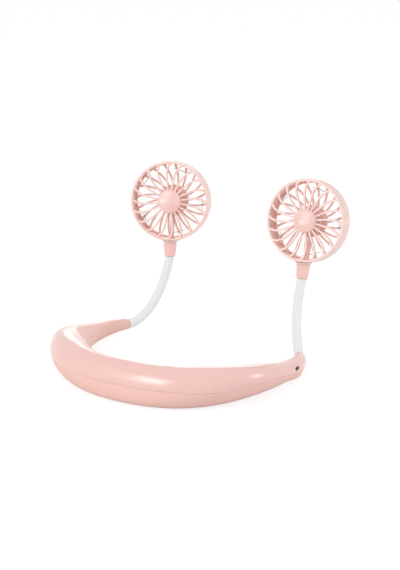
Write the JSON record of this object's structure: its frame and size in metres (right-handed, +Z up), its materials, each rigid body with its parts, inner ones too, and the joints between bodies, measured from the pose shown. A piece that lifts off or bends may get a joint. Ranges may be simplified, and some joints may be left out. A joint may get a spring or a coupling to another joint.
{
  "type": "hands-free neck fan",
  "caption": "U-shaped neckband with a bendable gooseneck at each end, each carrying a caged fan head that swivels and blows back at the wearer.",
  "frame": {"origin": "middle of the band's back, on the flat strip of the underside that it rests on", "axes": "+Z up, +Y forwards from the back of the band towards its open arms and the fans, +X to the wearer's right"},
  "size_m": [0.2031, 0.2189, 0.1426],
  "materials": {
    "gloss_pink": "pale pink moulded ABS with a smooth satin gloss",
    "matte_pink": "pale pink moulded ABS with a fine matt texture",
    "white_silicone": "soft white silicone sleeve",
    "clear_white": "translucent white moulded plastic",
    "steel": "plain bright steel",
    "cell_foil": "laminated foil pouch",
    "board_green": "green circuit board",
    "black_plastic": "black moulded nylon",
    "lead_grey": "grey insulated lead"
  },
  "bodies": {
    "neckband": {"outer_shell": "gloss_pink", "inner_shell": "matte_pink", "shell_screw_back": "steel", "shell_screw_left": "steel", "shell_screw_right": "steel", "battery_cell_left": "cell_foil", "battery_cell_right": "cell_foil", "control_board": "board_green", "charging_socket": "steel", "push_switch": "black_plastic", "indicator_light": "clear_white", "base_ferrule_left": "steel", "base_ferrule_right": "steel"},
    "button": {"power_button": "gloss_pink"},
    "left_gooseneck": {"gooseneck_sleeve_left": "white_silicone", "gooseneck_conduit_left": "steel", "motor_lead_left": "lead_grey"},
    "right_gooseneck": {"gooseneck_sleeve_right": "white_silicone", "gooseneck_conduit_right": "steel", "motor_lead_right": "lead_grey"},
    "left_collar": {"collar_left": "gloss_pink", "tip_ferrule_left": "steel"},
    "right_collar": {"collar_right": "gloss_pink", "tip_ferrule_right": "steel"},
    "left_head": {"rear_housing_left": "gloss_pink", "front_grille_left": "gloss_pink", "motor_can_left": "steel", "motor_end_cap_left": "black_plastic", "swivel_clip_left": "steel"},
    "right_head": {"rear_housing_right": "gloss_pink", "front_grille_right": "gloss_pink", "motor_can_right": "steel", "motor_end_cap_right": "black_plastic", "swivel_clip_right": "steel"},
    "left_impeller": {"impeller_left": "clear_white", "motor_shaft_left": "steel"},
    "right_impeller": {"impeller_right": "clear_white", "motor_shaft_right": "steel"}
  },
  "joints": [
    {"name": "left_lean", "type": "hinge", "parent": "neckband", "child": "left_gooseneck", "pos_m": [-0.07645, 0.15496, 0.00918], "axis": [1, 0, 0], "range_deg": [-30, 35], "deforming": ["gooseneck_sleeve_left", "gooseneck_conduit_left", "motor_lead_left"]},
    {"name": "right_lean", "type": "hinge", "parent": "neckband", "child": "right_gooseneck", "pos_m": [0.07573, 0.15344, 0.00872], "axis": [1, 0, 0], "range_deg": [-30, 35], "deforming": ["gooseneck_sleeve_right", "gooseneck_conduit_right", "motor_lead_right"]},
    {"name": "left_spread", "type": "hinge", "parent": "left_gooseneck", "child": "left_collar", "pos_m": [-0.06889, 0.17266, 0.03072], "axis": [0, -1, 0], "range_deg": [-20, 35]},
    {"name": "right_spread", "type": "hinge", "parent": "right_gooseneck", "child": "right_collar", "pos_m": [0.06613, 0.17102, 0.02935], "axis": [0, 1, 0], "range_deg": [-20, 35]},
    {"name": "left_swivel", "type": "hinge", "parent": "left_collar", "child": "left_head", "pos_m": [-0.0647, 0.1825, 0.0588], "axis": [-0.0541, 0.1426, 0.9883], "range_deg": [-90, 90]},
    {"name": "right_swivel", "type": "hinge", "parent": "right_collar", "child": "right_head", "pos_m": [0.0647, 0.1825, 0.0577], "axis": [-0.0192, 0.2317, 0.9726], "range_deg": [-90, 90]},
    {"name": "left_spin", "type": "hinge", "parent": "left_head", "child": "left_impeller", "pos_m": [-0.06735, 0.18949, 0.10723], "axis": [0.2909, -0.9446, 0.1522], "continuous": true},
    {"name": "right_spin", "type": "hinge", "parent": "right_head", "child": "right_impeller", "pos_m": [0.06376, 0.19386, 0.10536], "axis": [0.0026, -0.9728, 0.2318], "continuous": true},
    {"name": "button_press", "type": "slide", "parent": "neckband", "child": "button", "axis": [0.9357, -0.0635, 0.3471], "range_m": [0, 0.0005], "stiffness_N_per_m": 1200}
  ]
}
